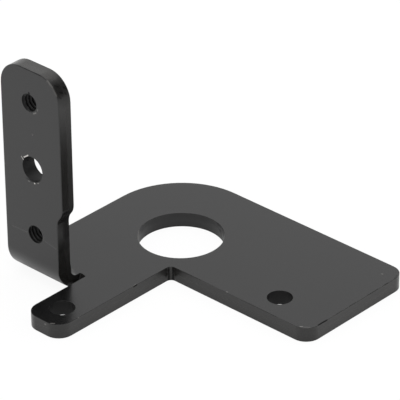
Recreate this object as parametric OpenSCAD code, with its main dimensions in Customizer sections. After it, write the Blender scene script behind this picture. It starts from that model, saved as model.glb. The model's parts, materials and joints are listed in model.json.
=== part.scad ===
// Sensor mounting bracket, folded from one sheet: a flat plate with a round
// sensor hole, a long arm and a short ear, and a narrow flange turned up beside
// the ear. Millimetres, +Z up. The origin is the centre of the sensor hole on the
// underside of the plate. Inside the modules, X is measured from the bracket's left
// edge and Y from the outer face of the flange, and bracket() moves them there.

/* [Sheet] */
// Thickness of the sheet
sheet_t = 2; // [1:0.1:2.6]
// Radius inside the bend
bend_inner_r = 1; // [0.5:0.1:1.5]
// How much larger the outer radius is than the inner one and the sheet together,
// because the sheet thins where it is stretched round the bend
bend_thinning = 1; // [0:0.1:1.2]

/* [Plate] */
// Length of the plate, from its left edge to the far end of the arm
plate_len = 38.75; // [34:0.05:54]
// Depth of the bracket, from the outer face of the flange to the back edge
plate_depth = 30.65; // [28.5:0.05:40]
// Width of the arm, from its front edge to the back edge
arm_w = 18.4; // [17.8:0.1:22.5]
// Radius of the large back corner, beside the sensor hole
back_corner_r = 10; // [4:0.5:12]
// Radius of the small corners of the arm and of the ear
corner_r = 2; // [0.2:0.1:2.6]
// Radius in the inner corner between the ear and the arm
inner_corner_r = 0.7; // [0.2:0.1:2]

/* [Ear] */
// Width of the ear
ear_w = 6; // [5.6:0.1:7.4]
// Reach of the ear past the outer face of the flange
ear_reach = 7.25; // [4:0.05:14]
// Width of the slot that parts the ear from the bend
relief_w = 1.2; // [0.6:0.1:2]
// Depth of that slot behind the outer face of the flange
relief_depth = 3.4; // [2.6:0.1:6]

/* [Flange] */
// Height of the flange above the underside of the plate
flange_h = 30.25; // [29:0.05:46]
// Width of the upper flange
flange_w = 9.95; // [9.4:0.05:11.2]
// Width of the neck, where the flange meets the bend
neck_w = 9; // [8:0.1:9.7]
// Height at which the flange steps out from its neck
step_z = 11.4; // [9:0.1:20]
// Radius of both curves in the step
step_r = 2; // [1.4:0.1:3.3]
// Radius of the upper corners of the flange
flange_corner_r = 3.3; // [0.7:0.1:4.3]

/* [Sensor hole] */
// Diameter of the hole that the sensor passes through
sensor_hole_d = 11; // [5:0.1:12]
// Distance of its centre from the left edge
sensor_hole_x = 12.2; // [9.4:0.1:13.3]
// Distance of its centre from the back edge
sensor_hole_inset = 12.25; // [9.4:0.05:13]

/* [Screw holes in the plate] */
// Diameter of the plain screw holes in the arm and the ear
screw_hole_d = 3.2; // [2:0.1:4]
// Distance from the arm's screw hole to the far end of the arm
arm_hole_inset = 7.6; // [3.4:0.1:12]
// Distance from the arm's screw hole to the front edge of the arm
arm_hole_edge = 3.55; // [3:0.05:9]
// Distance from the ear's screw hole to the end of the ear
ear_hole_inset = 3.55; // [2.8:0.05:5]

/* [Holes in the flange] */
// Distance of their centre line from the left edge of the flange
flange_hole_x = 5; // [4.2:0.1:5.6]
// Diameter of the two threaded holes at the crests of the thread
thread_hole_d = 2.4; // [1.6:0.1:4]
// Distance between the two threaded holes
thread_spacing = 18.35; // [13:0.05:18.6]
// Diameter of the plain hole midway between them
middle_hole_d = 3.4; // [2:0.1:4.6]
// Distance from that hole to the top edge of the flange
middle_hole_drop = 13.65; // [12:0.05:14.6]

/* [Hidden] */
$fn = 96;
// How far a cut runs past the surface it cuts
over = 1;
bend_outer_r = bend_inner_r + sheet_t + bend_thinning;
ear_left = neck_w + relief_w;
ear_right = ear_left + ear_w;
arm_front = plate_depth - arm_w;
sensor_hole_y = plate_depth - sensor_hole_inset;
middle_hole_z = flange_h - middle_hole_drop;
// Half the height of the step, where its two arcs meet halfway across it
step_out = flange_w - neck_w;
step_half = sqrt(step_out * (step_r - step_out / 4));
step_mid = (neck_w + flange_w) / 2;

// A square corner of side r at the origin, less the quarter circle that rounds it
module corner_waste(r, past = 0) {
    difference() {
        translate([-past, -past]) square(r + past);
        translate([r, r]) circle(r);
    }
}

// Rounds the corner of a flat shape at [x, y]; turn = 0 is its lower left corner,
// and each 90 degrees more is the next corner going round anticlockwise
module round_corner(x, y, turn, r) {
    translate([x, y]) rotate(turn) corner_waste(r, over);
}

// The flat plate, from the end of the bend backwards, with its arm and ear
module plate_outline() {
    difference() {
        union() {
            translate([0, bend_outer_r]) square([neck_w, plate_depth - bend_outer_r]);
            translate([neck_w, relief_depth]) square([relief_w, plate_depth - relief_depth]);
            translate([ear_left, -ear_reach]) square([ear_w, plate_depth + ear_reach]);
            translate([ear_right, arm_front]) square([plate_len - ear_right, arm_w]);
            translate([ear_right, arm_front]) rotate(-90) corner_waste(inner_corner_r);
        }
        round_corner(0, plate_depth, -90, back_corner_r);
        round_corner(plate_len, plate_depth, 180, corner_r);
        round_corner(plate_len, arm_front, 90, corner_r);
        round_corner(ear_right, -ear_reach, 90, corner_r);
        round_corner(ear_left, -ear_reach, 0, corner_r);
    }
}

// The upright flange seen from the front, from the top of the bend upwards
module flange_outline() {
    difference() {
        union() {
            translate([0, bend_outer_r]) square([neck_w, flange_h - bend_outer_r]);
            translate([0, step_z + step_half])
                square([flange_w, flange_h - step_z - step_half]);
            translate([flange_w - step_r, step_z + step_half]) circle(step_r);
            difference() {
                translate([neck_w - over, step_z - step_half])
                    square([step_mid - neck_w + over, step_half]);
                translate([neck_w + step_r, step_z - step_half]) circle(step_r);
            }
        }
        round_corner(0, flange_h, -90, flange_corner_r);
        round_corner(flange_w, flange_h, 180, flange_corner_r);
    }
}

// The bend from the side: round outside and inside, and level with the plate and
// the flange at its two ends
module bend_outline() {
    difference() {
        square(bend_outer_r);
        corner_waste(bend_outer_r, over);
        translate([sheet_t, sheet_t]) difference() {
            square(bend_outer_r);
            corner_waste(bend_inner_r);
        }
    }
}

// The bend that joins the neck of the flange to the plate
module bend() {
    rotate([90, 0, 90]) linear_extrude(neck_w) bend_outline();
}

// A hole of diameter d down through the plate at [x, y]
module plate_hole(x, y, d) {
    translate([x, y, -over]) cylinder(h = sheet_t + 2 * over, d = d);
}

// A hole of diameter d through the flange at height z
module flange_hole(z, d) {
    translate([flange_hole_x, -over, z]) rotate([-90, 0, 0])
        cylinder(h = sheet_t + 2 * over, d = d);
}

module bracket() {
    color([0.13, 0.13, 0.135]) translate([-sensor_hole_x, -sensor_hole_y, 0])
    difference() {
        union() {
            linear_extrude(sheet_t) plate_outline();
            bend();
            translate([0, sheet_t, 0]) rotate([90, 0, 0])
                linear_extrude(sheet_t) flange_outline();
        }
        plate_hole(sensor_hole_x, sensor_hole_y, sensor_hole_d);
        plate_hole(plate_len - arm_hole_inset, arm_front + arm_hole_edge, screw_hole_d);
        plate_hole(ear_left + ear_w / 2, ear_hole_inset - ear_reach, screw_hole_d);
        flange_hole(middle_hole_z, middle_hole_d);
        for (side = [-1, 1])
            flange_hole(middle_hole_z + side * thread_spacing / 2, thread_hole_d);
    }
}

bracket();
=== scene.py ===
# Sensor mounting bracket: one sheet, cut out, rounded at its edges, threaded in two
# holes, folded once and coated black. Sizes are millimetres until the sheet is folded.
import json
import bmesh
import bpy
from math import atan2, cos, degrees, pi, radians, sin, sqrt
from mathutils import Euler, Matrix, Vector
from mathutils.geometry import delaunay_2d_cdt


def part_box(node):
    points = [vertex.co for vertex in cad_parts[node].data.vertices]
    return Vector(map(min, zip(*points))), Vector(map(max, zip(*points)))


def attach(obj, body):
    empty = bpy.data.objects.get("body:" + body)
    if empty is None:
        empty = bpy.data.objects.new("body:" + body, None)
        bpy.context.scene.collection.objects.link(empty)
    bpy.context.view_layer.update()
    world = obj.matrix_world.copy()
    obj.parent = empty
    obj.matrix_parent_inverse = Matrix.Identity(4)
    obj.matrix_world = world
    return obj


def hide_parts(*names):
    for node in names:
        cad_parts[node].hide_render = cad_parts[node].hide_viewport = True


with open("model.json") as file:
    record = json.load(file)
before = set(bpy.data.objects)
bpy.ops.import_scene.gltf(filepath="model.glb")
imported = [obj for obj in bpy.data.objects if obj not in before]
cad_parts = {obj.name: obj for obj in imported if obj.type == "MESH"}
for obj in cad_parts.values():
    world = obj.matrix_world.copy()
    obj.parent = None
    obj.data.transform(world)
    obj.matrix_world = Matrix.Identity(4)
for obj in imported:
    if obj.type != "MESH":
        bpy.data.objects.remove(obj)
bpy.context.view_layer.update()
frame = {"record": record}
mm = 0.001


# Helpers for objects and meshes
def addObject(name, data):
    thing = bpy.data.objects.new(name, data)
    bpy.context.scene.collection.objects.link(thing)
    return thing


def toMesh(mesh, name):
    data = bpy.data.meshes.new(name)
    mesh.to_mesh(data)
    mesh.free()
    return data


# Camera
photoCamera = {
    "place": (244.109, -256.261, 215.396),  # from the centre of the sensor hole
    "azimuth": 43.218,                      # degrees round from looking along +Y
    "elevation": 30.478,
    "roll": -0.525,
    "lens": 296.15,
    "sensor": 36.0,
    "clip": (0.01, 20.0),                   # metres
}


def makeCamera(c):
    data = bpy.data.cameras.new("photoCamera")
    data.lens = c["lens"]
    data.sensor_width = c["sensor"]
    data.clip_start, data.clip_end = c["clip"]
    camera = addObject("photoCamera", data)
    camera.location = Vector(c["place"]) * mm
    look = Euler((radians(90 - c["elevation"]), 0, radians(c["azimuth"]))).to_matrix()
    turned = look @ Matrix.Rotation(radians(c["roll"]), 3, "Z")
    camera.rotation_euler = turned.to_euler()
    bpy.context.scene.camera = camera


makeCamera(photoCamera)
print("camera set")


# Helpers for node trees
def newTree(name, kind, inputs, outputs):
    tree = bpy.data.node_groups.new(name, kind)
    for side, sockets in (("INPUT", inputs), ("OUTPUT", outputs)):
        for label, socketType, value in sockets:
            socket = tree.interface.new_socket(name=label, in_out=side, socket_type=socketType)
            if value is not None:
                socket.default_value = value
    given = tree.nodes.new("NodeGroupInput").outputs
    result = tree.nodes.new("NodeGroupOutput").inputs
    return tree, given, result


def addNode(tree, kind, inputs=None, **settings):
    node = tree.nodes.new(kind)
    for name, value in settings.items():
        setattr(node, name, value)
    for key, value in (inputs or {}).items():
        if isinstance(value, bpy.types.NodeSocket):
            tree.links.new(value, node.inputs[key])
        else:
            node.inputs[key].default_value = value
    return node


def calc(tree, operation, *values, clamp=False):
    node = addNode(tree, "ShaderNodeMath", dict(enumerate(values)), operation=operation)
    node.use_clamp = clamp
    return node.outputs[0]


def vecCalc(tree, operation, *values, output="Vector"):
    node = addNode(tree, "ShaderNodeVectorMath", dict(enumerate(values)), operation=operation)
    return node.outputs[output]


def axes(tree, source):
    return addNode(tree, "ShaderNodeSeparateXYZ", {0: source}).outputs


def vector(tree, x, y, z):
    return addNode(tree, "ShaderNodeCombineXYZ", {0: x, 1: y, 2: z}).outputs[0]


# The blank: the flat sheet before it is folded
sheet = {
    "thickness": 2.0,
    "innerBend": 1.0,        # radius inside the bend
    "bendThinning": 1.0,     # extra radius outside, where the sheet thins in the bend
    "armWidth": 18.4,
    "backCorner": 10.0,      # radius of the large corner beside the sensor hole
    "corner": 2.0,           # radius of the small corners of the arm and the ear
    "innerCorner": 0.7,      # radius between the ear and the arm
    "earWidth": 6.0,
    "earReach": 7.25,        # past the outer face of the flange
    "slotWidth": 1.2,        # slot between the bend and the ear
    "slotDepth": 3.4,        # behind the outer face of the flange
    "slotCorner": 0.2,
    "flangeWidth": 9.95,
    "neckWidth": 9.0,
    "stepHeight": 11.4,      # where the flange steps out from its neck
    "stepRadius": 2.0,
    "flangeCorner": 3.3,
    "topRound": (0.04, 0.04),     # how far an edge is rounded along the face and down the cut
    "underRound": (0.18, 0.06),   # wider on the underside, where the sheet was cut into
    "holeRound": (0.016, 0.018),
    "threadRound": (0.06, 0.04),
    "arcSteps": (6, 1.2),    # steps of a quarter circle, and more for each millimetre of radius
    "holeSides": (48, 6),    # the same for the sides of a plain hole
    "bendBulge": 0.11,       # how far the neck's side is squeezed out inside the bend
    "bendDraw": 0.15,        # and drawn in outside it
    "edgeSteps": 5,
    "bendSteps": 30,
}
thread = {
    "pitch": 0.5,
    "crest": 1.09,           # radius at the crests, with the coat on them
    "root": 1.39,            # radius at the roots
    "crestFlat": 0.25,       # share of the pitch that is flat at the crest
    "rootFlat": 0.125,       # and at the root
    "starts": {              # degrees round each hole to where a crest meets the outer face
        "flange_thread_top": -14,
        "flange_thread_bottom": 150,
    },
    "rowsPerTurn": 12,
    "sides": 84,
}

# Kinds of surface, in the order of the numbers that their faces carry, and the input of
# the bracket's tree that takes the coat of each
coatInputs = {
    "satinFace": "Face Coat",
    "cutEdge": "Edge Coat",
    "largeHole": "Hole Coat",
    "bore": "Bore Coat",
    "thread": "Thread Coat",
}

# What the fold starts from, measured on the CAD node that the sheet replaces
low, high = (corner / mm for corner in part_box("bracket"))
outerBend = sheet["innerBend"] + sheet["thickness"] + sheet["bendThinning"]
bendLength = (outerBend - sheet["thickness"] / 2) * pi / 2
flangeFace = low.y + sheet["earReach"]
bendStart = flangeFace + outerBend


def flatY(height):
    # Where a height on the flange lies on the flat sheet
    return bendStart - bendLength - (height - outerBend)


def arc(x, y, radius, start, end, hollow=False):
    # Points of an arc with the normals out of the sheet; a hollow arc is centred off it
    fewest, perRadius = sheet["arcSteps"]
    steps = max(4, round(abs(end - start) / 90 * (fewest + perRadius * radius)))
    path = []
    for step in range(steps + 1):
        angle = radians(start + (end - start) * step / steps)
        normal = Vector((cos(angle), sin(angle)))
        path.append((Vector((x, y)) + radius * normal, -normal if hollow else normal))
    return path


def blankOutline(s):
    left, right, back = low.x, high.x, high.y
    flangeRight = left + s["flangeWidth"]
    neckRight = left + s["neckWidth"]
    earLeft = neckRight + s["slotWidth"]
    earRight = earLeft + s["earWidth"]
    armFront = back - s["armWidth"]
    top = flatY(high.z)
    slotEnd = flangeFace + s["slotDepth"]
    step = s["stepRadius"]
    stepOut = s["flangeWidth"] - s["neckWidth"]
    stepHalf = sqrt(stepOut * (step - stepOut / 4))
    stepAngle = degrees(atan2(stepHalf, step - stepOut / 2))
    big, small, inner = s["backCorner"], s["corner"], s["innerCorner"]
    flangeCorner, slotCorner = s["flangeCorner"], s["slotCorner"]
    stepLow, stepHigh = flatY(s["stepHeight"] - stepHalf), flatY(s["stepHeight"] + stepHalf)
    return [
        *arc(left + flangeCorner, top + flangeCorner, flangeCorner, 180, 270),
        *arc(flangeRight - flangeCorner, top + flangeCorner, flangeCorner, 270, 360),
        *arc(flangeRight - step, stepHigh, step, 0, stepAngle),
        *arc(neckRight + step, stepLow, step, 180 + stepAngle, 180, True)[1:],
        *arc(neckRight + slotCorner, slotEnd - slotCorner, slotCorner, 180, 90, True),
        *arc(earLeft - slotCorner, slotEnd - slotCorner, slotCorner, 90, 0, True),
        *arc(earLeft + small, low.y + small, small, 180, 270),
        *arc(earRight - small, low.y + small, small, 270, 360),
        *arc(earRight + inner, armFront - inner, inner, 180, 90, True),
        *arc(right - small, armFront + small, small, 270, 360),
        *arc(right - small, back - small, small, 0, 90),
        *arc(left + big, back - big, big, 90, 180),
    ]


def holesFromRecord(t):
    holes = []
    for mount in frame["record"]["mounts"]:
        if "r_mm" in mount["dims"]:
            x, y, z = (value / mm for value in mount["pos_m"])
            inFlange = abs(mount["axis"][1]) > 0.5
            threaded = mount["kind"] == "threaded_hole"
            holes.append({
                "centre": Vector((x, flatY(z) if inFlange else y)),
                "radius": t["crest"] if threaded else mount["dims"]["r_mm"],
                "threaded": threaded,
                "start": t["starts"].get(mount["name"], 0),
            })
    return holes


def roundRows(reach, drop, steps):
    # Inset, depth and outward share of the normal of each row of an oval rounding
    rows = []
    for step in range(steps + 1):
        angle = pi / 2 * step / steps
        normal = Vector((drop * sin(angle), reach * cos(angle))).normalized()
        rows.append((reach * (1 - sin(angle)), drop * (1 - cos(angle)), normal.y))
    return rows


def wallRows(thickness, top, under, steps, middleRows):
    # Inset, height and upward share of the normal of each row, from the top face down
    upper = [(inset, thickness - drop, up) for inset, drop, up in roundRows(*top, steps)]
    lower = [(inset, drop, -up) for inset, drop, up in reversed(roundRows(*under, steps))]
    start, end = upper[-1][1], lower[0][1]
    middle = [(0, start + (end - start) * row / middleRows, 0) for row in range(1, middleRows)]
    return upper + middle + lower


def addLayers(mesh):
    # What the trees and the coats read from each vertex, and the kind of each face
    return {
        "normal": mesh.verts.layers.float_vector.new("flatNormal"),
        "centre": mesh.verts.layers.float_vector.new("boreCentre"),
        "threaded": mesh.verts.layers.float.new("threaded"),
        "start": mesh.verts.layers.float.new("threadStart"),
        "edge": mesh.verts.layers.float.new("edge"),
        "depth": mesh.verts.layers.float.new("cutDepth"),
        "finish": mesh.faces.layers.int.new("finish"),
    }


def wallKind(hole, thickness):
    if not hole:
        return "cutEdge"
    if hole["threaded"]:
        return "thread"
    return "largeHole" if hole["radius"] > thickness else "bore"


def addWall(mesh, layers, s, t, path, hole=None):
    # A cut wall with its rounded edges; its first and last ring are handed back
    threaded = bool(hole and hole["threaded"])
    kinds = list(coatInputs)
    faceNumber = kinds.index("satinFace")
    wallNumber = kinds.index(wallKind(hole, s["thickness"]))
    turns = s["thickness"] / t["pitch"]
    middleRows = round(turns * t["rowsPerTurn"]) if threaded else 1
    top, under = s["topRound"], s["underRound"]
    if hole:
        top = under = s["threadRound"] if threaded else s["holeRound"]
    rings = []
    for inset, height, up in wallRows(s["thickness"], top, under, s["edgeSteps"], middleRows):
        out = sqrt(1 - up * up)
        ring = []
        for point, normal in path:
            place = point - inset * normal
            vertex = mesh.verts.new((place.x, place.y, height))
            if not threaded or out < 0.01:
                vertex[layers["normal"]] = Vector((normal.x * out, normal.y * out, up))
            vertex[layers["edge"]] = 2 * abs(up) * out
            vertex[layers["depth"]] = 1 - height / s["thickness"]
            if threaded:
                vertex[layers["centre"]] = hole["centre"].to_3d()
                vertex[layers["threaded"]] = 1
                vertex[layers["start"]] = radians(hole["start"])
            ring.append(vertex)
        rings.append(ring)
    count = len(path)
    lastWall = len(rings) - 2 - s["edgeSteps"]
    for number, (upper, lower) in enumerate(zip(rings, rings[1:])):
        onWall = threaded or s["edgeSteps"] <= number <= lastWall
        for i in range(count):
            j = (i + 1) % count
            face = mesh.faces.new((upper[i], lower[i], lower[j], upper[j]))
            face[layers["finish"]] = wallNumber if onWall else faceNumber
    return rings[0], rings[-1]


def holePath(hole, s, t):
    fewest, perRadius = s["holeSides"]
    sides = t["sides"] if hole["threaded"] else fewest + perRadius * round(hole["radius"])
    path = []
    for side in range(sides):
        angle = -2 * pi * side / sides
        normal = Vector((cos(angle), sin(angle)))
        path.append((hole["centre"] + hole["radius"] * normal, -normal))
    return path


def fillFaces(mesh, loops):
    # Both faces of the sheet get the same triangles, apart from those in a hole
    tops = [vertex for top, bottom in loops for vertex in top]
    bottoms = [vertex for top, bottom in loops for vertex in bottom]
    edges, loopOf = [], []
    for number, (top, bottom) in enumerate(loops):
        start, count = len(loopOf), len(top)
        edges += [(start + i, start + (i + 1) % count) for i in range(count)]
        loopOf += [number] * count
    flat = [vertex.co.to_2d() for vertex in tops]
    _, _, triangles, originals, *_ = delaunay_2d_cdt(flat, edges, [], 1, 1e-6)
    for triangle in triangles:
        corners = [originals[i][0] for i in triangle]
        touched = {loopOf[i] for i in corners}
        if len(touched) > 1 or 0 in touched:
            mesh.faces.new([tops[i] for i in corners])
            mesh.faces.new([bottoms[i] for i in reversed(corners)])


def cutBend(mesh, steps):
    # Cuts across the bend, so that it folds as a round
    for step in range(steps + 1):
        level = bendStart - bendLength * step / steps
        everything = mesh.verts[:] + mesh.edges[:] + mesh.faces[:]
        bmesh.ops.bisect_plane(mesh, geom=everything, dist=1e-5,
                               plane_co=(0, level, 0), plane_no=(0, 1, 0))


def makeBlank(s, t):
    mesh = bmesh.new()
    layers = addLayers(mesh)
    loops = [addWall(mesh, layers, s, t, blankOutline(s))]
    for hole in holesFromRecord(t):
        loops.append(addWall(mesh, layers, s, t, holePath(hole, s, t), hole))
    fillFaces(mesh, loops)
    cutBend(mesh, s["bendSteps"])
    return addObject("blank", toMesh(mesh, "blank"))


blank = makeBlank(sheet, thread)
print("blank made:", len(blank.data.polygons), "faces")


# Geometry nodes: the thread is cut into the flat sheet, then the flange is folded up
def namedValue(tree, name, dataType):
    node = addNode(tree, "GeometryNodeInputNamedAttribute", {"Name": name}, data_type=dataType)
    return node.outputs[0]


def makeThreadTree():
    tree, given, result = newTree("cutThread", "GeometryNodeTree", [
        ("Geometry", "NodeSocketGeometry", None),
        ("Pitch", "NodeSocketFloat", 1.0),
        ("Crest Radius", "NodeSocketFloat", 1.0),
        ("Root Radius", "NodeSocketFloat", 1.0),
        ("Crest Flat", "NodeSocketFloat", 0.25),
        ("Root Flat", "NodeSocketFloat", 0.125),
    ], [("Geometry", "NodeSocketGeometry", None)])
    place = addNode(tree, "GeometryNodeInputPosition").outputs[0]
    centre = namedValue(tree, "boreCentre", "FLOAT_VECTOR")
    threaded = namedValue(tree, "threaded", "FLOAT")
    start = namedValue(tree, "threadStart", "FLOAT")
    x, y, z = axes(tree, vecCalc(tree, "SUBTRACT", place, centre))
    around = calc(tree, "SUBTRACT", calc(tree, "ARCTAN2", y, x), start)
    around = calc(tree, "DIVIDE", around, 2 * pi)
    down = calc(tree, "DIVIDE", z, given["Pitch"])
    turn = calc(tree, "FRACT", calc(tree, "SUBTRACT", down, around))
    # 0 in the middle of the root and 1 in the middle of the crest
    fromRoot = calc(tree, "ABSOLUTE", calc(tree, "MULTIPLY_ADD", turn, 2.0, -1.0))
    crestStart = calc(tree, "SUBTRACT", 1.0, given["Crest Flat"])
    flank = calc(tree, "SUBTRACT", crestStart, given["Root Flat"])
    share = calc(tree, "SUBTRACT", crestStart, fromRoot)
    share = calc(tree, "DIVIDE", share, flank, clamp=True)
    depth = calc(tree, "SUBTRACT", given["Root Radius"], given["Crest Radius"])
    grooved = calc(tree, "MULTIPLY_ADD", share, depth, given["Crest Radius"])
    outward = vector(tree, x, y, 0.0)
    drilled = vecCalc(tree, "LENGTH", outward, output="Value")
    radial = addNode(tree, "ShaderNodeVectorMath", {
        0: vecCalc(tree, "NORMALIZE", outward), "Scale": calc(tree, "MAXIMUM", drilled, grooved),
    }, operation="SCALE").outputs[0]
    moved = vecCalc(tree, "ADD", radial, vector(tree, 0.0, 0.0, z))
    cut = addNode(tree, "GeometryNodeSetPosition", {
        "Geometry": given["Geometry"],
        "Selection": calc(tree, "GREATER_THAN", threaded, 0.5),
        "Position": vecCalc(tree, "ADD", moved, centre),
    })
    tree.links.new(cut.outputs[0], result["Geometry"])
    return tree


def makeFoldTree():
    # The underside follows the outer arc and the top the inner one, with what lies
    # between them in proportion, so the sheet thins in the bend
    tree, given, result = newTree("foldFlange", "GeometryNodeTree", [
        ("Geometry", "NodeSocketGeometry", None),
        ("Thickness", "NodeSocketFloat", 1.0),
        ("Bend Start", "NodeSocketFloat", 0.0),
        ("Inner Radius", "NodeSocketFloat", 1.0),
        ("Outer Radius", "NodeSocketFloat", 2.0),
        ("Flat Length", "NodeSocketFloat", 1.0),
        ("Neck Middle", "NodeSocketFloat", 0.0),
        ("Neck Width", "NodeSocketFloat", 1.0),
        ("Slot Width", "NodeSocketFloat", 1.0),
        ("Bulge", "NodeSocketFloat", 0.0),
        ("Draw", "NodeSocketFloat", 0.0),
    ], [("Geometry", "NodeSocketGeometry", None)])
    place = addNode(tree, "GeometryNodeInputPosition").outputs[0]
    x, y, z = axes(tree, place)
    along = calc(tree, "SUBTRACT", given["Bend Start"], y)
    share = calc(tree, "DIVIDE", along, given["Flat Length"], clamp=True)
    depth = calc(tree, "DIVIDE", z, given["Thickness"], clamp=True)

    def turned(source, centre, angle):
        return addNode(tree, "ShaderNodeVectorRotate", {
            "Vector": source, "Center": centre, "Angle": calc(tree, "MULTIPLY", angle, -1.0),
        }, rotation_type="X_AXIS").outputs[0]

    def between(amount, first, second):
        # 4 and 5 are the vector inputs of a Mix node, and 1 its vector output
        inputs = {"Factor": amount, 4: first, 5: second}
        return addNode(tree, "ShaderNodeMix", inputs, data_type="VECTOR").outputs[1]

    # Outside, one arc runs from the plate to the flange
    start = given["Bend Start"]
    outerAngle = calc(tree, "MULTIPLY", share, pi / 2)
    outerCentre = vector(tree, 0.0, start, given["Outer Radius"])
    outer = turned(vector(tree, x, start, 0.0), outerCentre, outerAngle)
    # Inside, the arc is shorter and has a straight stretch before and after it
    toCentre = calc(tree, "ADD", given["Inner Radius"], given["Thickness"])
    straight = calc(tree, "SUBTRACT", given["Outer Radius"], toCentre)
    arcLength = calc(tree, "MULTIPLY", given["Inner Radius"], pi / 2)
    run = calc(tree, "MULTIPLY", share, calc(tree, "MULTIPLY_ADD", straight, 2.0, arcLength))
    onArc = calc(tree, "SUBTRACT", run, straight)
    arcShare = calc(tree, "DIVIDE", onArc, arcLength, clamp=True)
    innerAngle = calc(tree, "MULTIPLY", arcShare, pi / 2)
    arcStart = calc(tree, "SUBTRACT", start, straight)
    onTop = vector(tree, x, arcStart, given["Thickness"])
    inner = turned(onTop, vector(tree, 0.0, arcStart, toCentre), innerAngle)
    before = calc(tree, "MAXIMUM", calc(tree, "MULTIPLY", onArc, -1.0), 0.0)
    after = calc(tree, "MAXIMUM", calc(tree, "SUBTRACT", onArc, arcLength), 0.0)
    inner = vecCalc(tree, "ADD", inner, vector(tree, 0.0, before, after))
    # The neck's right side is squeezed out inside the bend and drawn in outside it
    bothWays = calc(tree, "MULTIPLY", share, calc(tree, "SUBTRACT", 1.0, share))
    strength = calc(tree, "MULTIPLY", bothWays, 8.0, clamp=True)
    swing = calc(tree, "ADD", given["Bulge"], given["Draw"])
    push = calc(tree, "SUBTRACT", calc(tree, "MULTIPLY", depth, swing), given["Draw"])
    halfWidth = calc(tree, "MULTIPLY", given["Neck Width"], 0.5)
    fromMiddle = calc(tree, "SUBTRACT", x, given["Neck Middle"])
    fromMiddle = calc(tree, "MAXIMUM", calc(tree, "DIVIDE", fromMiddle, halfWidth), 0.0)
    aside = calc(tree, "MULTIPLY", calc(tree, "MULTIPLY", strength, push), fromMiddle)
    # The plate behind the bend stays where it was, and the flange goes straight up
    behind = calc(tree, "MAXIMUM", calc(tree, "MULTIPLY", along, -1.0), 0.0)
    above = calc(tree, "MAXIMUM", calc(tree, "SUBTRACT", along, given["Flat Length"]), 0.0)
    shift = vector(tree, aside, behind, above)
    folded = vecCalc(tree, "ADD", between(depth, outer, inner), shift)
    # The strip behind the slot lies on the first 0.3 of the bend and twists from the bend
    # to the flat, and the ear stays flat
    pastNeck = calc(tree, "SUBTRACT", calc(tree, "SUBTRACT", x, given["Neck Middle"]), halfWidth)
    pastNeck = calc(tree, "DIVIDE", pastNeck, given["Slot Width"], clamp=True)
    stripEnd = calc(tree, "MULTIPLY", given["Flat Length"], 0.3)
    nearSlot = calc(tree, "LESS_THAN", along, stripEnd)
    onEar = calc(tree, "GREATER_THAN", pastNeck, 0.99)
    flat = calc(tree, "MAXIMUM", calc(tree, "MULTIPLY", pastNeck, nearSlot), onEar)
    furtherIn = calc(tree, "SUBTRACT", innerAngle, outerAngle)
    angle = calc(tree, "MULTIPLY_ADD", furtherIn, depth, outerAngle)
    angle = calc(tree, "MULTIPLY", angle, calc(tree, "SUBTRACT", 1.0, flat))
    normal = turned(namedValue(tree, "flatNormal", "FLOAT_VECTOR"), (0, 0, 0), angle)
    kept = addNode(tree, "GeometryNodeStoreNamedAttribute", {
        "Geometry": given["Geometry"], "Name": "foldedNormal", "Value": normal,
    }, data_type="FLOAT_VECTOR", domain="POINT").outputs[0]
    moved = addNode(tree, "GeometryNodeSetPosition", {
        "Geometry": kept, "Position": between(flat, folded, place),
    })
    tree.links.new(moved.outputs[0], result["Geometry"])
    return tree


def makeBracketTree():
    # Cuts the thread, folds the sheet and gives each kind of surface its coat
    parts = (makeThreadTree(), makeFoldTree())
    sizes = {
        socket.name for part in parts for socket in part.interface.items_tree
        if socket.in_out == "INPUT" and socket.name != "Geometry"
    }
    coatNames = list(coatInputs.values())
    tree, given, result = newTree("shapeBracket", "GeometryNodeTree", [
        ("Geometry", "NodeSocketGeometry", None),
        *((size, "NodeSocketFloat", 0.0) for size in sorted(sizes)),
        *((coatName, "NodeSocketMaterial", None) for coatName in coatNames),
    ], [("Geometry", "NodeSocketGeometry", None)])
    shape = given["Geometry"]
    for part in parts:
        group = addNode(tree, "GeometryNodeGroup", node_tree=part)
        for socket in group.inputs:
            source = shape if socket.name == "Geometry" else given[socket.name]
            tree.links.new(source, socket)
        shape = group.outputs[0]
    shape = addNode(tree, "GeometryNodeRealizeInstances", {"Geometry": shape}).outputs[0]
    finish = namedValue(tree, "finish", "INT")
    for number, coatName in enumerate(coatNames):
        # 2 and 3 are the whole numbers that the node compares
        chosen = addNode(tree, "FunctionNodeCompare", {2: finish, 3: number},
                         data_type="INT", operation="EQUAL").outputs[0]
        shape = addNode(tree, "GeometryNodeSetMaterial", {
            "Geometry": shape, "Selection": chosen, "Material": given[coatName],
        }).outputs[0]
    tree.links.new(shape, result["Geometry"])
    return tree


# Shader groups
def makeGrainGroup():
    # Fine orange peel of a sprayed coat: its height, and a slow change of its gloss
    tree, given, result = newTree("coatGrain", "ShaderNodeTree", [
        ("Vector", "NodeSocketVector", None),
        ("Peel Size", "NodeSocketFloat", 0.0005),
        ("Patch Size", "NodeSocketFloat", 0.01),
    ], [("Height", "NodeSocketFloat", None), ("Patches", "NodeSocketFloat", None)])
    for label, size, detail in (("Height", "Peel Size", 2.0), ("Patches", "Patch Size", 4.0)):
        scale = calc(tree, "DIVIDE", 1.0, given[size])
        noise = addNode(tree, "ShaderNodeTexNoise", {
            "Vector": given["Vector"], "Scale": scale, "Detail": detail, "Roughness": 0.55,
        })
        tree.links.new(noise.outputs[0], result[label])
    return tree


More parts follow.
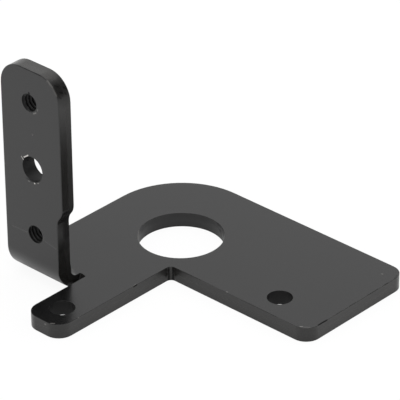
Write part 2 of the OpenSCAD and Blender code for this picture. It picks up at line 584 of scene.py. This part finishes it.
def makeWearGroup():
    # Where a rounded edge has rubbed: broken up by noise and only on the edge itself
    tree, given, result = newTree("edgeWear", "ShaderNodeTree", [
        ("Vector", "NodeSocketVector", None),
        ("Edge", "NodeSocketFloat", 0.0),
        ("Amount", "NodeSocketFloat", 0.3),
        ("Break Size", "NodeSocketFloat", 0.002),
        ("Sharpness", "NodeSocketFloat", 4.0),
    ], [("Mask", "NodeSocketFloat", None)])
    scale = calc(tree, "DIVIDE", 1.0, given["Break Size"])
    noise = addNode(tree, "ShaderNodeTexNoise", {
        "Vector": given["Vector"], "Scale": scale, "Detail": 3.0,
    }).outputs[0]
    # Only the highest noise is above zero, and the more the larger the amount
    broken = calc(tree, "ADD", calc(tree, "MULTIPLY_ADD", noise, 2.0, -1.5), given["Amount"])
    mask = calc(tree, "MULTIPLY", broken, given["Sharpness"], clamp=True)
    mask = calc(tree, "MULTIPLY", mask, given["Edge"], clamp=True)
    tree.links.new(mask, result["Mask"])
    return tree


def makeStreakGroup():
    # A sheared edge: streaks along it, smooth next to the underside, torn next to the top
    tree, given, result = newTree("shearStreaks", "ShaderNodeTree", [
        ("Vector", "NodeSocketVector", None),
        ("Depth", "NodeSocketFloat", 0.0),
        ("Streak Length", "NodeSocketFloat", 0.004),
        ("Streaks", "NodeSocketFloat", 5.0),
        ("Torn Share", "NodeSocketFloat", 0.5),
        ("Raggedness", "NodeSocketFloat", 0.4),
        ("Sharpness", "NodeSocketFloat", 8.0),
    ], [("Height", "NodeSocketFloat", None), ("Torn", "NodeSocketFloat", None)])
    length = given["Streak Length"]
    along = vecCalc(tree, "DIVIDE", given["Vector"], vector(tree, length, length, length))
    across = calc(tree, "MULTIPLY", given["Depth"], given["Streaks"])
    slant = vector(tree, across, calc(tree, "MULTIPLY", across, -1.3), across)
    streaks = addNode(tree, "ShaderNodeTexNoise", {
        "Vector": vecCalc(tree, "ADD", along, slant), "Scale": 1.0, "Detail": 4.0,
    }).outputs[0]
    ragged = addNode(tree, "ShaderNodeTexNoise", {
        "Vector": along, "Scale": 3.0, "Detail": 3.0,
    }).outputs[0]
    # The torn part ends in an uneven line, and the streaks are deepest above it
    ragged = calc(tree, "SUBTRACT", ragged, 0.5)
    tornEnd = calc(tree, "MULTIPLY_ADD", ragged, given["Raggedness"], given["Torn Share"])
    torn = calc(tree, "SUBTRACT", tornEnd, given["Depth"])
    torn = calc(tree, "MULTIPLY", torn, given["Sharpness"], clamp=True)
    relief = calc(tree, "MULTIPLY_ADD", torn, 0.7, 0.3)
    tree.links.new(calc(tree, "MULTIPLY", streaks, relief), result["Height"])
    tree.links.new(torn, result["Torn"])
    return tree


def makeMarkGroup():
    # One stroke from start to end, a dot where they meet, with a ragged outline
    tree, given, result = newTree("wearMark", "ShaderNodeTree", [
        ("Vector", "NodeSocketVector", None),
        ("Start", "NodeSocketVector", None),
        ("End", "NodeSocketVector", None),
        ("Width", "NodeSocketFloat", 0.0001),
        ("Strength", "NodeSocketFloat", 1.0),
        ("Ragged Scale", "NodeSocketFloat", 6000.0),
        ("Sharpness", "NodeSocketFloat", 2.5),
    ], [("Mask", "NodeSocketFloat", None)])
    run = vecCalc(tree, "SUBTRACT", given["End"], given["Start"])
    fromStart = vecCalc(tree, "SUBTRACT", given["Vector"], given["Start"])
    reach = vecCalc(tree, "DOT_PRODUCT", run, run, output="Value")
    reach = calc(tree, "MAXIMUM", reach, 1e-12)    # not zero, even for a dot
    done = vecCalc(tree, "DOT_PRODUCT", fromStart, run, output="Value")
    nearest = addNode(tree, "ShaderNodeVectorMath", {
        0: run, "Scale": calc(tree, "DIVIDE", done, reach, clamp=True),
    }, operation="SCALE").outputs[0]
    away = vecCalc(tree, "LENGTH", vecCalc(tree, "SUBTRACT", fromStart, nearest), output="Value")
    noise = addNode(tree, "ShaderNodeTexNoise", {
        "Vector": given["Vector"], "Scale": given["Ragged Scale"],
    }).outputs[0]
    # The noise is 0.5 on average, so the stroke ends about one width away
    shaken = calc(tree, "ADD", calc(tree, "DIVIDE", away, given["Width"]), noise)
    mask = calc(tree, "SUBTRACT", 1.5, shaken)
    mask = calc(tree, "MULTIPLY", mask, given["Sharpness"], clamp=True)
    tree.links.new(calc(tree, "MULTIPLY", mask, given["Strength"]), result["Mask"])
    return tree


# The coat: nearly black and satin, with small marks where it is thin, gone or dull, and marks of
# painted highlight and painted shade
coat = {
    "colour": (0.003, 0.003, 0.0031, 1),
    "rubbed": (0.02, 0.019, 0.018, 1),     # coat worn thin along an edge
    "bareAndGlints": (0.45, 0.43, 0.41, 1),         # metal or grit in a small mark, and the colour of painted glints and highlights
    "peelSize": 0.0004,        # metres, like the other sizes here
    "peelDepth": 0.000003,
    "patchSize": 0.008,
    "patchRoughness": 0.06,    # how far the roughness changes from patch to patch
    "bareRoughness": 0.3,      # how much rougher a mark in the bare colour is, painted glints too
    "tornRoughness": 0.1,      # and the torn part of a sheared edge
    "wearAmount": 0.3,
    "wearSize": 0.002,
    "streakDepth": 0.000008,
}
finishes = {    # for each kind of surface, with the lists of marks that lie on it
    "satinFace": {"roughness": 0.25, "ior": 1.5, "bareAndGlints": ["bareAndGlints"], "dark": ["dark"]},
    "cutEdge": {
        "roughness": 0.23, "ior": 1.47, "colour": (0.0092, 0.0088, 0.0082, 1), "streaks": True,
        "bareAndGlints": ["bareAndGlints", "edgeSheen"], "dark": ["dark", "edgeDarkAndShade"],
    },
    "largeHole": {
        "roughness": 0.4, "ior": 1.5, "streaks": True,
        "bareAndGlints": ["holeGlint"], "dark": ["holeDark"],
    },
    "bore": {"roughness": 0.55, "ior": 1.42},
    "thread": {"roughness": 0.42, "ior": 1.38, "dark": ["threadMouthShade"]},
}
marks = {    # start and end in mm from the sensor hole, width in mm, strength
    "bareAndGlints": [
        ((-8.6, -18.4, 17.8), (-7.9, -18.4, 18.3), 0.1, 1.0),        # burrs at the middle hole
        ((-9.05, -18.4, 17.75), (-8.75, -18.4, 17.4), 0.08, 0.7),
        ((-6.95, -18.4, 14.75), (-6.85, -18.4, 14.75), 0.1, 1.0),
        ((-6.35, -18.4, 15.0), (-6.25, -18.4, 15.0), 0.07, 0.5),
        ((-7.95, -18.4, 14.7), (-7.85, -18.4, 14.7), 0.08, 0.25),
        ((-6.65, -18.4, 24.52), (-6.2, -18.4, 24.8), 0.1, 0.2),      # painted highlights on the rims of the threaded holes
        ((-5.93, -18.4, 25.15), (-5.87, -18.4, 25.4), 0.08, 0.14),
        ((-5.7, -18.4, 7.2), (-5.7, -18.4, 7.6), 0.06, 0.08),
        ((-6.95, -18.4, 21.5), (-6.95, -18.4, 21.55), 0.09, 0.15),   # specks and faint scratches
        ((-11.1, -18.4, 7.1), (-8.6, -18.4, 7.2), 0.07, 0.05),
        ((-5.4, -18.4, 7.15), (-3.4, -18.4, 6.75), 0.07, 0.05),
        ((-4.1, -18.35, 29.9), (-3.3, -18.35, 29.35), 0.15, 0.12),   # painted highlight on the rounded corner of the flange
        ((-3.3, -18.35, 29.35), (-2.6, -18.35, 28.4), 0.15, 0.07),
        ((25.1, -5.85, 2.0), (25.35, -5.7, 2.0), 0.09, 0.3),         # rubbed corners of arm and ear, painted as bright as their glints
        ((25.5, -5.65, 2.0), (26.1, -5.2, 2.0), 0.07, 0.12),
        ((2.4, -25.5, 2.0), (2.8, -25.2, 2.0), 0.07, 0.3),
        ((1.6, -25.65, 1.6), (1.7, -25.65, 1.6), 0.12, 0.2),
        ((4.0, -22.35, 2.0), (4.0, -22.25, 2.0), 0.1, 0.12),
        ((4.0, -13.0, 2.0), (3.8, -12.1, 2.0), 0.07, 0.1),
        ((13.3, -6.0, 2.0), (13.4, -6.0, 2.0), 0.1, 0.2),            # specks on the plate
        ((24.6, 9.9, 2.0), (24.7, 9.9, 2.0), 0.16, 0.1),
        ((-4.35, -15.0, 2.0), (-3.5, -15.5, 2.0), 0.17, 0.06),       # painted highlight on the inner bend beside the slot
    ],
    "dark": [
        ((26.5, -4.1, 2.0), (26.5, -2.6, 2.0), 0.13, 1.0),           # nick and dashes at the arm's end
        ((26.5, -0.9, 2.0), (26.5, 0.1, 2.0), 0.06, 0.4),
        ((26.5, 1.6, 2.0), (26.5, 2.8, 2.0), 0.07, 0.45),
        ((26.5, 4.9, 2.0), (26.5, 6.9, 2.0), 0.07, 0.5),
        ((26.5, 8.1, 2.0), (26.5, 8.8, 2.0), 0.09, 0.6),
        ((26.5, 10.0, 2.0), (26.2, 10.9, 2.0), 0.07, 0.5),
        ((4.0, -12.8, 1.95), (4.0, -12.2, 1.95), 0.12, 1.0),         # nick and line beside the ear
        ((6.2, -6.15, 2.0), (9.0, -6.15, 2.0), 0.06, 0.5),
        ((15.9, -6.15, 2.0), (21.5, -6.15, 2.0), 0.06, 0.4),
        ((-9.0, -18.4, 30.25), (-5.2, -18.4, 30.25), 0.09, 0.4),     # top edge of the flange
        ((-7.9, -18.4, 30.25), (-7.2, -18.4, 30.25), 0.1, 0.6),
        ((-6.2, -18.4, 30.25), (-5.2, -18.4, 30.2), 0.1, 0.5),
        ((-8.4, -18.4, 15.0), (-7.3, -18.4, 14.85), 0.08, 0.6),      # ragged rim of the middle hole
        ((-7.3, -18.4, 14.85), (-6.1, -18.4, 15.35), 0.07, 0.5),
        ((-7.35, -18.4, 27.1), (-7.25, -18.4, 27.1), 0.16, 0.9),     # chip over the top thread
    ],
    "edgeSheen": [
        ((-10.5, -17.4, 30.25), (-4.6, -17.4, 30.25), 1.1, 0.042),   # painted sheen on top of the flange
    ],
    # Painted shade on the corner of the flange and in the inner corner, with pits and darker patches on
    # the neck and its step
    "edgeDarkAndShade": [
        ((-3.8, -17.4, 29.75), (-2.85, -17.4, 28.85), 1.2, 0.26),    # shaded corner of the flange
        ((-2.85, -17.4, 28.85), (-2.3, -17.4, 27.7), 1.2, 0.26),
        ((-3.3, -17.9, 29.4), (-3.1, -17.6, 29.15), 0.12, 0.6),      # and its pits
        ((-3.2, -16.8, 29.25), (-3.1, -16.7, 29.1), 0.12, 0.5),
        ((-2.9, -16.9, 28.9), (-2.75, -16.7, 28.7), 0.14, 0.7),
        ((-2.7, -17.7, 28.6), (-2.6, -17.4, 28.4), 0.14, 0.6),
        ((-2.55, -17.0, 28.3), (-2.45, -16.9, 28.1), 0.12, 0.6),
        ((-2.45, -18.0, 28.1), (-2.4, -17.8, 27.9), 0.1, 0.6),
        ((-3.2, -17.0, 10.7), (-3.2, -17.0, 8.3), 0.75, 0.55),       # back half of the neck's side
        ((-3.2, -17.0, 8.3), (-3.2, -17.0, 6.8), 0.75, 0.3),
        ((-3.2, -17.9, 10.2), (-3.2, -17.9, 6.5), 0.6, 0.3),
        ((-2.3, -17.9, 12.2), (-2.3, -16.5, 12.2), 0.5, 0.4),        # and the step over it
        ((-2.6, -17.0, 11.8), (-3.0, -17.4, 10.9), 0.8, 0.4),
        ((4.06, -6.55, 2.0), (4.06, -6.55, 0.0), 0.14, 0.8),         # painted shade on both sides of the inner corner
        ((4.45, -6.2, 2.0), (4.45, -6.2, 0.0), 0.14, 0.8),
    ],
    "holeGlint": [
        ((-4.69, -2.87, 1.8), (-4.21, -3.54, 0.4), 0.45, 0.2),       # painted glint at the left end of the sensor hole
    ],
    "holeDark": [
        ((1.4, 5.32, 1.9), (2.5, 4.9, 1.9), 0.25, 0.7),              # ragged right half of its wall
        ((2.5, 4.9, 1.9), (3.6, 4.15, 1.9), 0.25, 0.8),
        ((3.6, 4.15, 1.9), (4.5, 3.15, 1.9), 0.2, 0.8),
        ((1.9, 5.15, 1.1), (2.3, 5.0, 0.8), 0.3, 0.7),
        ((3.0, 4.6, 1.4), (3.3, 4.4, 0.9), 0.3, 0.8),
        ((3.9, 3.9, 1.3), (4.1, 3.65, 0.9), 0.25, 0.7),
    ],
    "threadMouthShade": [
        ((-8.5, -18.25, 26.4), (-8.55, -18.25, 25.3), 0.3, 0.6),     # painted shade in the first groove, near the mouth of the threaded holes
        ((-8.55, -18.25, 25.3), (-7.9, -18.25, 24.6), 0.3, 0.5),
        ((-8.5, -18.25, 8.1), (-8.5, -18.25, 6.9), 0.3, 0.4),
    ],
}


def makeCoat(name, finish, c, groups):
    material = bpy.data.materials.new(name)
    material.use_nodes = True
    tree = material.node_tree
    tree.nodes.clear()
    place = addNode(tree, "ShaderNodeTexCoord").outputs["Object"]
    edge = addNode(tree, "ShaderNodeAttribute", attribute_name="edge").outputs["Fac"]
    depth = addNode(tree, "ShaderNodeAttribute", attribute_name="cutDepth").outputs["Fac"]

    def useGroup(group, inputs):
        inputs = {"Vector": place, **inputs}
        return addNode(tree, "ShaderNodeGroup", inputs, node_tree=groups[group]).outputs

    def blend(share, first, second):
        # 6 and 7 are the colour inputs of a Mix node, and 2 its colour output
        inputs = {"Factor": share, 6: first, 7: second}
        return addNode(tree, "ShaderNodeMix", inputs, data_type="RGBA").outputs[2]

    def allMarks(kind):
        mask = None
        for listName in finish.get(kind, []):
            for start, end, width, strength in marks[listName]:
                one = useGroup("mark", {
                    "Start": Vector(start) * mm, "End": Vector(end) * mm,
                    "Width": width * mm, "Strength": strength,
                })["Mask"]
                mask = one if mask is None else calc(tree, "MAXIMUM", mask, one)
        return mask

    grain = useGroup("grain", {"Peel Size": c["peelSize"], "Patch Size": c["patchSize"]})
    worn = useGroup("wear", {
        "Edge": edge, "Amount": c["wearAmount"], "Break Size": c["wearSize"],
    })["Mask"]
    bareAndGlints, dark = allMarks("bareAndGlints"), allMarks("dark")
    colour = blend(worn, finish.get("colour", c["colour"]), c["rubbed"])
    spread = c["patchRoughness"]
    rough = calc(tree, "MULTIPLY_ADD", grain["Patches"], spread, finish["roughness"] - spread / 2)
    # Dark marks, painted shade among them, take the coat's black and mirror nothing
    if dark is not None:
        colour = blend(dark, colour, c["colour"])
    # Bare metal and grit, and painted glints and highlights, take the light bare colour
    if bareAndGlints is not None:
        colour = blend(bareAndGlints, colour, c["bareAndGlints"])
        rough = calc(tree, "MULTIPLY_ADD", bareAndGlints, c["bareRoughness"], rough)
    normal = addNode(tree, "ShaderNodeBump", {
        "Height": grain["Height"], "Distance": c["peelDepth"],
    }).outputs[0]
    if finish.get("streaks"):
        shear = useGroup("streaks", {"Depth": depth})
        rough = calc(tree, "MULTIPLY_ADD", shear["Torn"], c["tornRoughness"], rough)
        normal = addNode(tree, "ShaderNodeBump", {
            "Height": shear["Height"], "Distance": c["streakDepth"], "Normal": normal,
        }).outputs[0]
    shader = addNode(tree, "ShaderNodeBsdfPrincipled", {
        "IOR": finish["ior"], "Base Color": colour, "Roughness": rough, "Normal": normal,
    })
    if dark is not None:
        tree.links.new(dark, shader.inputs["Metallic"])
    result = tree.nodes.new("ShaderNodeOutputMaterial")
    tree.links.new(shader.outputs[0], result.inputs["Surface"])
    return material


shaderGroups = {
    "grain": makeGrainGroup(),
    "wear": makeWearGroup(),
    "streaks": makeStreakGroup(),
    "mark": makeMarkGroup(),
}
coats = {name: makeCoat(name, finish, coat, shaderGroups) for name, finish in finishes.items()}
print("coats mixed")


# The bracket
def foldBracket(blank, s, t):
    tree = makeBracketTree()
    modifier = blank.modifiers.new("shapeBracket", "NODES")
    modifier.node_group = tree
    chosen = {
        "Thickness": s["thickness"],
        "Pitch": t["pitch"],
        "Crest Radius": t["crest"],
        "Root Radius": t["root"],
        "Crest Flat": t["crestFlat"],
        "Root Flat": t["rootFlat"],
        "Bend Start": bendStart,
        "Inner Radius": s["innerBend"],
        "Outer Radius": outerBend,
        "Flat Length": bendLength,
        "Neck Middle": low.x + s["neckWidth"] / 2,
        "Neck Width": s["neckWidth"],
        "Slot Width": s["slotWidth"],
        "Bulge": s["bendBulge"],
        "Draw": s["bendDraw"],
        **{coatInputs[name]: material for name, material in coats.items()},
    }
    for socket in tree.interface.items_tree:
        if socket.in_out == "INPUT" and socket.name in chosen:
            modifier[socket.identifier] = chosen[socket.name]
    ready = blank.evaluated_get(bpy.context.evaluated_depsgraph_get())
    data = bpy.data.meshes.new_from_object(ready)
    bpy.data.objects.remove(blank)
    data.name = "foldedBracket"

    # Normals: exact ones on the faces, edges and bend, and the mesh's own in the threads
    exact = [Vector(item.vector) for item in data.attributes["foldedNormal"].data]
    own = [Vector(item.vector) for item in data.vertex_normals]
    normals = [first if first.length > 0.5 else second for first, second in zip(exact, own)]
    data.shade_smooth()
    data.normals_split_custom_set_from_vertices(normals)
    for name in ("foldedNormal", "flatNormal", "boreCentre", "threaded", "threadStart", "finish"):
        data.attributes.remove(data.attributes[name])
    data.transform(Matrix.Scale(mm, 4))
    return addObject("foldedBracket", data)


bracket = foldBracket(blank, sheet, thread)
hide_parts("bracket")
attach(bracket, "root")
print("bracket folded:", len(bracket.data.polygons), "faces")


# Studio: pale floor, white surroundings with a few patches, and one soft lamp overhead
studio = {
    "floorSize": 6.0,            # metres
    "floorDrop": 0.00002,        # clear of the underside, so that the two don't flicker
    "floorColour": (0.92, 0.92, 0.92, 1),
    "floorWhite": 0.92,          # share of plain white in what the camera sees of the floor
    "floorShine": 0.2,           # and in what the coat mirrors of it
    # Patches that the coat mirrors darker or brighter: where, in degrees round from +Y and
    # up, the angles at which each starts and stops fading, and the change of light
    "mirrored": [
        {"towards": (45, 25), "reach": (11, 35), "change": -0.78},
        {"towards": (-24, 48), "reach": (5, 27), "change": 0.45},
        {"towards": (-42, 46), "reach": (6, 16), "change": -0.5},
    ],
    "lampPlace": (0.25, -0.3, 1.0),
    "lampSize": 0.5,
    "lampPower": 3.0,            # watts
}


def makeFloor(s):
    mesh = bmesh.new()
    bmesh.ops.create_circle(mesh, cap_ends=True, radius=s["floorSize"] / 2, segments=64)
    data = toMesh(mesh, "floor")
    floor = addObject("floor", data)
    floor.location.z = -s["floorDrop"]
    material = bpy.data.materials.new("paleFloor")
    material.use_nodes = True
    tree = material.node_tree
    tree.nodes.clear()
    rays = addNode(tree, "ShaderNodeLightPath").outputs
    seen = calc(tree, "MAXIMUM", rays["Is Camera Ray"], rays["Is Transmission Ray"])
    seen = calc(tree, "MULTIPLY", seen, s["floorWhite"])
    seen = calc(tree, "MULTIPLY_ADD", rays["Is Glossy Ray"], s["floorShine"], seen)
    matt = addNode(tree, "ShaderNodeBsdfDiffuse", {"Color": s["floorColour"]}).outputs[0]
    white = addNode(tree, "ShaderNodeEmission", {"Color": (1, 1, 1, 1)}).outputs[0]
    mixed = addNode(tree, "ShaderNodeMixShader", {0: seen, 1: matt, 2: white}).outputs[0]
    # From below the floor isn't there, so that the underside can be seen
    below = addNode(tree, "ShaderNodeNewGeometry").outputs["Backfacing"]
    gone = addNode(tree, "ShaderNodeBsdfTransparent").outputs[0]
    whole = addNode(tree, "ShaderNodeMixShader", {0: below, 1: mixed, 2: gone}).outputs[0]
    result = tree.nodes.new("ShaderNodeOutputMaterial")
    tree.links.new(whole, result.inputs["Surface"])
    data.materials.append(material)


def makeSurroundings(s):
    world = bpy.data.worlds.new("surroundings")
    bpy.context.scene.world = world
    world.use_nodes = True
    tree = world.node_tree
    tree.nodes.clear()
    mirrored = addNode(tree, "ShaderNodeLightPath").outputs["Is Glossy Ray"]
    ray = addNode(tree, "ShaderNodeTexCoord").outputs["Generated"]
    strength = 1.0
    for spot in s["mirrored"]:
        around, up = (radians(angle) for angle in spot["towards"])
        middle = Vector((sin(around) * cos(up), cos(around) * cos(up), sin(up)))
        near, far = (cos(radians(angle)) for angle in spot["reach"])
        change = addNode(tree, "ShaderNodeMapRange", {
            "Value": vecCalc(tree, "DOT_PRODUCT", ray, middle, output="Value"),
            "From Min": far, "From Max": near, "To Min": 0.0, "To Max": spot["change"],
        }, interpolation_type="SMOOTHSTEP").outputs[0]
        strength = calc(tree, "MULTIPLY_ADD", change, mirrored, strength)
    light = addNode(tree, "ShaderNodeBackground", {"Color": (1, 1, 1, 1), "Strength": strength})
    result = tree.nodes.new("ShaderNodeOutputWorld")
    tree.links.new(light.outputs[0], result.inputs["Surface"])


def makeLamp(s):
    data = bpy.data.lights.new("overheadLamp", "AREA")
    data.shape = "DISK"
    data.size = s["lampSize"]
    data.energy = s["lampPower"]
    lamp = addObject("overheadLamp", data)
    lamp.location = s["lampPlace"]
    lamp.rotation_euler = Vector(s["lampPlace"]).to_track_quat("Z", "Y").to_euler()


makeFloor(studio)
makeSurroundings(studio)
makeLamp(studio)
bpy.context.scene.view_settings.view_transform = "Standard"
print("studio lit")
